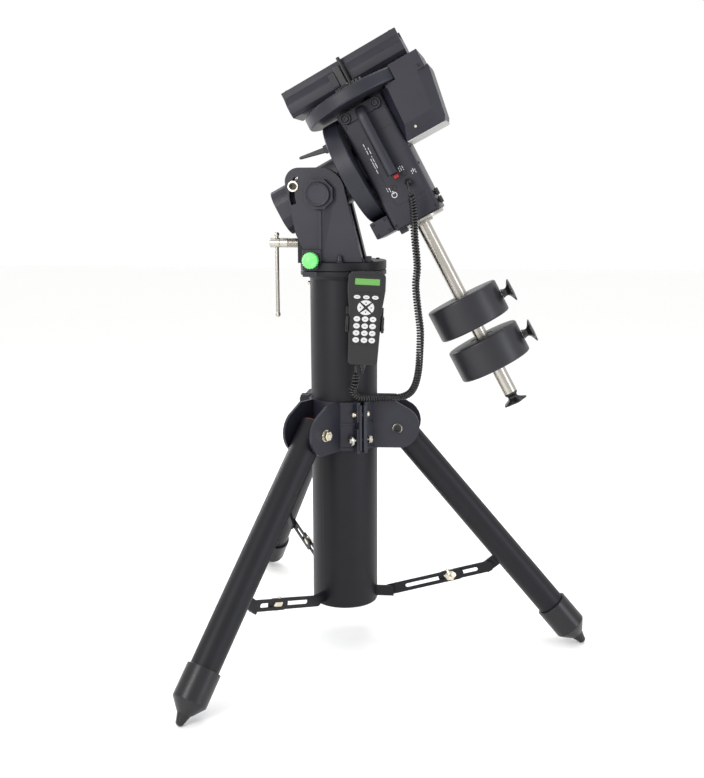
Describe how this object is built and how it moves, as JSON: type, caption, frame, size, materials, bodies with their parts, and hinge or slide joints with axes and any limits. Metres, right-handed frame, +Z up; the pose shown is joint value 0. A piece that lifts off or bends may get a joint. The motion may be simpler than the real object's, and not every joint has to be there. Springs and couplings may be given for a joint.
{
  "type": "motorised equatorial telescope mount on tripod",
  "caption": "Motorised equatorial telescope mount with saddle, fork, counterweights and hand controller on a steel pier with folding legs and slotted braces.",
  "frame": {"origin": "on the floor, under the middle of the part's box without its cord", "axes": "+X from the pier towards the right-hand leg and the raised end of the polar axis, +Z up, +Y away from the side with the green knob and the hand controller"},
  "size_m": [0.8961, 0.9853, 1.3925],
  "materials": {
    "powder_coat": "black powder coat with a fine texture",
    "cast_black": "cast and machined, black textured coat",
    "bright_steel": "turned and polished",
    "iron_black": "satin black paint",
    "black_plastic": "moulded, satin",
    "rubber": "matt black",
    "green_plastic": "pale green, slightly translucent",
    "key_white": "off-white moulded key mat",
    "red_plastic": "red, glossy"
  },
  "bodies": {
    "tripod": {"pier_tube": "powder_coat", "pier_bottom_cap": "black_plastic", "pier_flange": "powder_coat", "controller_holder": "black_plastic", "curly_cord": "rubber", "collar_segment_right": "cast_black", "collar_segment_front": "cast_black", "collar_segment_back": "cast_black", "leg_pivot_bolt_right": "bright_steel", "leg_pivot_bolt_front": "bright_steel", "leg_pivot_bolt_back": "bright_steel"},
    "fork": {"azimuth_base": "powder_coat", "fork_cheek_near": "cast_black", "fork_cheek_far": "cast_black", "altitude_pin_near": "cast_black", "altitude_pin_far": "cast_black"},
    "altitude_screw": {"altitude_screw": "bright_steel"},
    "altitude_screw_bar": {"altitude_screw_bar": "bright_steel"},
    "azimuth_knob_near": {"azimuth_knob_near": "green_plastic"},
    "azimuth_knob_far": {"azimuth_knob_far": "black_plastic"},
    "polar_housing": {"polar_housing": "cast_black", "polar_gear_drum": "cast_black", "altitude_lock_bolt": "bright_steel"},
    "polar_clutch_lever": {"polar_clutch_lever": "black_plastic"},
    "polar": {"declination_housing": "cast_black", "polar_shaft": "bright_steel", "polar_motor_box": "cast_black", "declination_motor_cover": "cast_black", "carry_handle": "cast_black", "shaft_ring": "bright_steel", "counterweight_shaft": "bright_steel", "cord_plug": "black_plastic"},
    "declination_switch": {"declination_switch": "red_plastic"},
    "end_stop_knob": {"end_stop_knob": "black_plastic"},
    "declination": {"declination_disc": "cast_black", "declination_shaft": "bright_steel", "saddle_plate": "cast_black"},
    "saddle_clamp": {"saddle_clamp": "cast_black"},
    "saddle_lever": {"saddle_lever": "black_plastic"},
    "hand_controller": {"hand_controller": "black_plastic"},
    "controller_keypad": {"controller_keypad": "key_white"},
    "counterweight_upper": {"counterweight_upper": "iron_black"},
    "counterweight_knob_upper": {"counterweight_knob_upper": "black_plastic"},
    "counterweight_lower": {"counterweight_lower": "iron_black"},
    "counterweight_knob_lower": {"counterweight_knob_lower": "black_plastic"},
    "leg_right": {"leg_tube_right": "powder_coat", "leg_foot_right": "rubber"},
    "brace_inner_right": {"brace_inner_right": "powder_coat"},
    "brace_outer_right": {"brace_outer_right": "powder_coat"},
    "brace_knob_right": {"brace_knob_right": "bright_steel"},
    "leg_front": {"leg_tube_front": "powder_coat", "leg_foot_front": "rubber"},
    "brace_inner_front": {"brace_inner_front": "powder_coat"},
    "brace_outer_front": {"brace_outer_front": "powder_coat"},
    "brace_knob_front": {"brace_knob_front": "bright_steel"},
    "leg_back": {"leg_tube_back": "powder_coat", "leg_foot_back": "rubber"},
    "brace_inner_back": {"brace_inner_back": "powder_coat"},
    "brace_outer_back": {"brace_outer_back": "powder_coat"},
    "brace_knob_back": {"brace_knob_back": "bright_steel"}
  },
  "joints": [
    {"name": "azimuth", "type": "hinge", "parent": "tripod", "child": "fork", "pos_m": [-0.1192, 0.0175, 0.878], "axis": [0, 0, 1], "range_deg": [-5, 9], "deforming": ["curly_cord"]},
    {"name": "altitude", "type": "hinge", "parent": "fork", "child": "polar_housing", "pos_m": [-0.1582, 0.0175, 1.045], "axis": [0, -1, 0], "range_deg": [-8, 7], "deforming": ["curly_cord"]},
    {"name": "polar_rotation", "type": "hinge", "parent": "polar_housing", "child": "polar", "pos_m": [-0.0192, 0.0175, 1.1305], "axis": [0.8829, 0, 0.4695], "range_deg": [-95, 95], "deforming": ["curly_cord"]},
    {"name": "declination_rotation", "type": "hinge", "parent": "polar", "child": "declination", "pos_m": [-0.0192, 0.0175, 1.1305], "axis": [-0.4695, 0, 0.8829], "continuous": true},
    {"name": "polar_clutch", "type": "hinge", "parent": "polar_housing", "child": "polar_clutch_lever", "pos_m": [-0.14428, -0.0331, 1.14101], "axis": [0, 1, 0], "range_deg": [-8, 45]},
    {"name": "altitude_screw_turn", "type": "hinge", "parent": "fork", "child": "altitude_screw", "pos_m": [-0.1792, 0.0175, 0.936], "axis": [1, 0, 0], "range_deg": [-137, 137]},
    {"name": "altitude_bar_slide", "type": "slide", "parent": "altitude_screw", "child": "altitude_screw_bar", "axis": [0, 0, 1], "range_m": [0, 0.06]},
    {"name": "azimuth_knob_near_turn", "type": "hinge", "parent": "fork", "child": "azimuth_knob_near", "pos_m": [-0.1752, -0.0725, 0.9025], "axis": [0, 1, 0], "continuous": true},
    {"name": "azimuth_knob_far_turn", "type": "hinge", "parent": "fork", "child": "azimuth_knob_far", "pos_m": [-0.1752, 0.1075, 0.9025], "axis": [0, 1, 0], "continuous": true},
    {"name": "declination_switch_press", "type": "slide", "parent": "polar", "child": "declination_switch", "axis": [0, 1, 0], "range_m": [0, 0.0015], "stiffness_N_per_m": 1500},
    {"name": "end_stop_turn", "type": "hinge", "parent": "polar", "child": "end_stop_knob", "pos_m": [0.26154, 0.0175, 0.6025], "axis": [-0.4695, 0, 0.8829], "continuous": true},
    {"name": "saddle_clamp_slide", "type": "slide", "parent": "declination", "child": "saddle_clamp", "axis": [0, -1, 0], "range_m": [0, 0.006]},
    {"name": "saddle_lever_turn", "type": "hinge", "parent": "declination", "child": "saddle_lever", "pos_m": [-0.11763, -0.0375, 1.32733], "axis": [-0.4695, 0, 0.8829], "continuous": true},
    {"name": "controller_lift", "type": "slide", "parent": "tripod", "child": "hand_controller", "axis": [0.0563, 0.012, 0.9983], "range_m": [0, 0.06], "deforming": ["curly_cord"]},
    {"name": "keypad_press", "type": "slide", "parent": "hand_controller", "child": "controller_keypad", "axis": [-0.2079, 0.9781, 0], "range_m": [0, 0.001], "stiffness_N_per_m": 1500},
    {"name": "counterweight_upper_slide", "type": "slide", "parent": "polar", "child": "counterweight_upper", "axis": [-0.4695, 0, 0.8829], "range_m": [-0.01, 0.06]},
    {"name": "counterweight_knob_upper_turn", "type": "hinge", "parent": "counterweight_upper", "child": "counterweight_knob_upper", "pos_m": [0.16413, 0.0175, 0.78571], "axis": [0.8829, 0, 0.4695], "continuous": true},
    {"name": "counterweight_lower_slide", "type": "slide", "parent": "polar", "child": "counterweight_lower", "axis": [-0.4695, 0, 0.8829], "range_m": [-0.055, 0.01]},
    {"name": "counterweight_knob_lower_turn", "type": "hinge", "parent": "counterweight_lower", "child": "counterweight_knob_lower", "pos_m": [0.21178, 0.0175, 0.69609], "axis": [0.8829, 0, 0.4695], "continuous": true},
    {"name": "leg_right_fold", "type": "hinge", "parent": "tripod", "child": "leg_right", "pos_m": [0.00655, 0.02541, 0.519], "axis": [-0.0628, 0.998, 0], "range_deg": [0, 10]},
    {"name": "brace_inner_right_swing", "type": "hinge", "parent": "tripod", "child": "brace_inner_right", "pos_m": [-0.01441, 0.02409, 0.117], "axis": [-0.0628, 0.998, 0], "range_deg": [0, 4.7]},
    {"name": "brace_outer_right_swing", "type": "hinge", "parent": "leg_right", "child": "brace_outer_right", "pos_m": [0.21813, 0.03872, 0.181], "axis": [-0.0628, 0.998, 0], "range_deg": [-5.4, 0]},
    {"name": "brace_knob_right_turn", "type": "hinge", "parent": "brace_outer_right", "child": "brace_knob_right", "pos_m": [0.12977, 0.03316, 0.15668], "axis": [-0.0628, 0.998, 0], "continuous": true},
    {"name": "leg_front_fold", "type": "hinge", "parent": "tripod", "child": "leg_front", "pos_m": [-0.17522, -0.09536, 0.519], "axis": [0.8957, -0.4446, 0], "range_deg": [0, 10]},
    {"name": "brace_inner_front_swing", "type": "hinge", "parent": "tripod", "child": "brace_inner_front", "pos_m": [-0.16589, -0.07655, 0.117], "axis": [0.8957, -0.4446, 0], "range_deg": [0, 4.7]},
    {"name": "brace_outer_front_swing", "type": "hinge", "parent": "leg_front", "child": "brace_outer_front", "pos_m": [-0.26949, -0.28525, 0.181], "axis": [0.8957, -0.4446, 0], "range_deg": [-5.4, 0]},
    {"name": "brace_knob_front_turn", "type": "hinge", "parent": "brace_outer_front", "child": "brace_knob_front", "pos_m": [-0.23012, -0.20594, 0.15668], "axis": [0.8957, -0.4446, 0], "continuous": true},
    {"name": "leg_back_fold", "type": "hinge", "parent": "tripod", "child": "leg_back", "pos_m": [-0.18893, 0.12245, 0.519], "axis": [-0.8329, -0.5534, 0], "range_deg": [0, 10]},
    {"name": "brace_inner_back_swing", "type": "hinge", "parent": "tripod", "child": "brace_inner_back", "pos_m": [-0.17731, 0.10496, 0.117], "axis": [-0.8329, -0.5534, 0], "range_deg": [0, 4.7]},
    {"name": "brace_outer_back_swing", "type": "hinge", "parent": "leg_back", "child": "brace_outer_back", "pos_m": [-0.30625, 0.29903, 0.181], "axis": [-0.8329, -0.5534, 0], "range_deg": [-5.4, 0]},
    {"name": "brace_knob_back_turn", "type": "hinge", "parent": "brace_outer_back", "child": "brace_knob_back", "pos_m": [-0.25725, 0.22528, 0.15668], "axis": [-0.8329, -0.5534, 0], "continuous": true}
  ],
  "couplings": [
    {"joint": "brace_inner_right_swing", "follows": "leg_right_fold", "ratio": 0.467},
    {"joint": "brace_outer_right_swing", "follows": "leg_right_fold", "ratio": -0.533},
    {"joint": "brace_inner_front_swing", "follows": "leg_front_fold", "ratio": 0.467},
    {"joint": "brace_outer_front_swing", "follows": "leg_front_fold", "ratio": -0.533},
    {"joint": "brace_inner_back_swing", "follows": "leg_back_fold", "ratio": 0.467},
    {"joint": "brace_outer_back_swing", "follows": "leg_back_fold", "ratio": -0.533}
  ]
}
